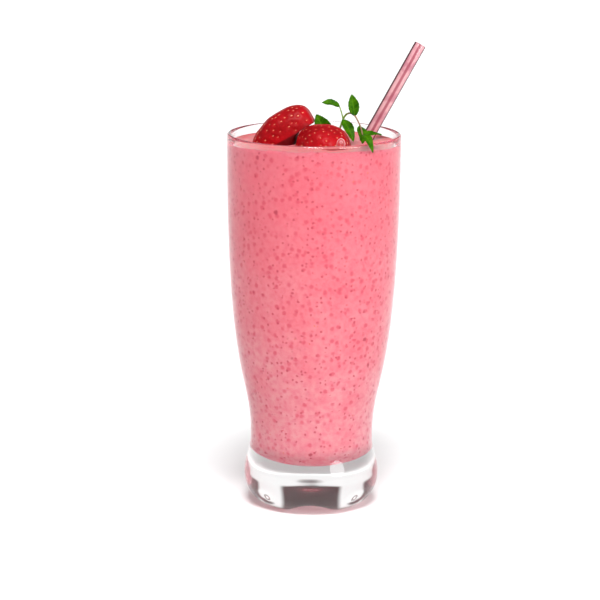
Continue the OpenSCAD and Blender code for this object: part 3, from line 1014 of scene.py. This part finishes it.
def add_leaf(bm, uv, joint, tip, up, width, arch):
    """A leaf from its joint on the stem to its tip, with its upper side facing `up`."""
    along = (tip - joint).normalized()
    length = (tip - joint).length
    side = along.cross(Vector(up)).normalized()
    top = side.cross(along)
    blade = bmesh.ops.create_grid(bm, x_segments=12, y_segments=26, size=1)["verts"]
    for face in {f for v in blade for f in v.link_faces}:
        for loop in face.loops:
            loop[uv].uv = (loop.vert.co.x / 2 + 0.5, loop.vert.co.y / 2 + 0.5)
    for v in blade:
        u, t = v.co.x, v.co.y / 2 + 0.5
        w = width / 2 * leaf_share(min(max(t, 0.0), 1.0)) + 0.12 * MM * (1 - t)
        saw = 1 + 0.03 * math.sin(t * 40) * abs(u)
        lift = arch * math.sin(math.pi * t) + FOLD * w * abs(u) ** 1.4
        lift -= RIB_DEPTH * math.exp(-(u / 0.13) ** 2) * (1 - t * 0.5)
        vein = math.cos(math.tau * (t * SIDE_VEINS - abs(u) * VEIN_SLANT))
        lift += VEIN_HIGH * vein * min(1, abs(u) * 3) * (w / (width / 2))
        lift += RIPPLE * abs(u) ** 2 * math.sin(t * 9 + u * 2)
        v.co = joint + along * length * t + side * (u * w * saw) + top * lift
    bmesh.ops.remove_doubles(bm, verts=blade, dist=1e-6)


leaf_bm = bmesh.new()
leaf_uv = leaf_bm.loops.layers.uv.new("leaf")
twig_tip = TWIG_END + LEAF_LEN * 0.84 * Vector((-1, 0.1, 0.18)).normalized()
crown_tip = CROWN + LEAF_LEN * Vector((-0.16, 0.1, 1)).normalized()
end_tip = END + Vector((8.4, 5.2, -0.6)) * MM
# Joint, tip, the way the upper side faces, share of the full width, height of the arch in mm.
SPRIG_LEAVES = (
    (TWIG_END, twig_tip, (0.2, -0.7, 1), 0.8, 0.8),
    (CROWN, crown_tip, (0.2, -1, 0.1), 1, 0.3),
    (FORK, over_drink(17.6, -3.6, 1.6), (0.3, -0.9, 0.5), 0.95, 0.8),
    (BEND, over_drink(21.4, -20, 3.2), (0.4, -0.5, 1), 0.95, 0.4),
    (END, by_rim(39, 2, -3.4), (0, -0.6, 0.8), 0.7, 3),
    (END, end_tip, (0, -0.5, 1), 0.6, 0.6),
)
for joint, tip, up, wide, arch in SPRIG_LEAVES:
    add_leaf(leaf_bm, leaf_uv, joint, tip, up, LEAF_W * wide, arch * MM)

back_bm = bmesh.new()
back_uv = back_bm.loops.layers.uv.new("leaf")
add_leaf(
    back_bm, back_uv, over_drink(6.4, 13.4, -0.6), over_drink(0.9, 15.4, 10.8),
    (0.2, -1, 0.2), LEAF_W * 1.55, 0.6 * MM,
)
back_low, back_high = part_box("herb_leaf")
print("leaf faces:", len(leaf_bm.faces) + len(back_bm.faces))
print("CAD leaf behind, height in mm:", round((back_high.z - back_low.z) / MM, 1))

# %% Material of the leaves
leaf_green, tree, shader, where = new_material(
    "leaf_green", Roughness=0.5, Specular_IOR_Level=0.04, Subsurface_Weight=0.03,
    Subsurface_Scale=0.0008,
)
shader.inputs["Subsurface Radius"].default_value = (0.5, 1.0, 0.2)
blade_uv = add_node(tree, "ShaderNodeUVMap", {}, uv_map="leaf").outputs["UV"]
flat = add_node(tree, "ShaderNodeSeparateXYZ", {0: blade_uv})
off_rib = math_node(tree, "ABSOLUTE", math_node(tree, "SUBTRACT", flat.outputs["X"], 0.5))
rib = ease(tree, off_rib, 0.06, 0.015)
along_blade = math_node(tree, "MULTIPLY", flat.outputs["Y"], SIDE_VEINS)
slant = math_node(tree, "SUBTRACT", along_blade, math_node(tree, "MULTIPLY", off_rib, 2 * VEIN_SLANT))
wave = math_node(tree, "COSINE", math_node(tree, "MULTIPLY", slant, math.tau))
side_vein = ease(tree, wave, -0.8, -0.98, 0.0, 0.6)
vein = math_node(tree, "MAXIMUM", rib, side_vein)
patch = ease(tree, grain(tree, where, 0.003, 3.0).outputs["Fac"], 0.3, 0.7)
green = mix(tree, patch, (0.01, 0.065, 0.0002), (0.042, 0.14, 0.0004))
green = mix(tree, math_node(tree, "MULTIPLY", vein, 0.3), green, (0.12, 0.28, 0.008))
tree.links.new(green, shader.inputs["Base Color"])
cells = grain(tree, where, 0.0005, 2.0).outputs["Fac"]
tree.links.new(bump(tree, cells, 0.00006, 0.5), shader.inputs["Normal"])

for bm, name, node in ((leaf_bm, "herb_leaves", None), (back_bm, "herb_leaf_behind", "herb_leaf")):
    leaves = finished(bm, name, [leaf_green], node)
    thick = leaves.modifiers.new("thickness", "SOLIDIFY")
    thick.thickness = LEAF_THICK
    thick.offset = 0

# %% Measure the boxes and print them
boxes = {"cad": cad_box, "visual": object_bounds()}
sizes = {name: [[float(v) for v in corner] for corner in box] for name, box in boxes.items()}
for name, box in sizes.items():
    print(name, [[round(v / MM, 2) for v in corner] for corner in box])
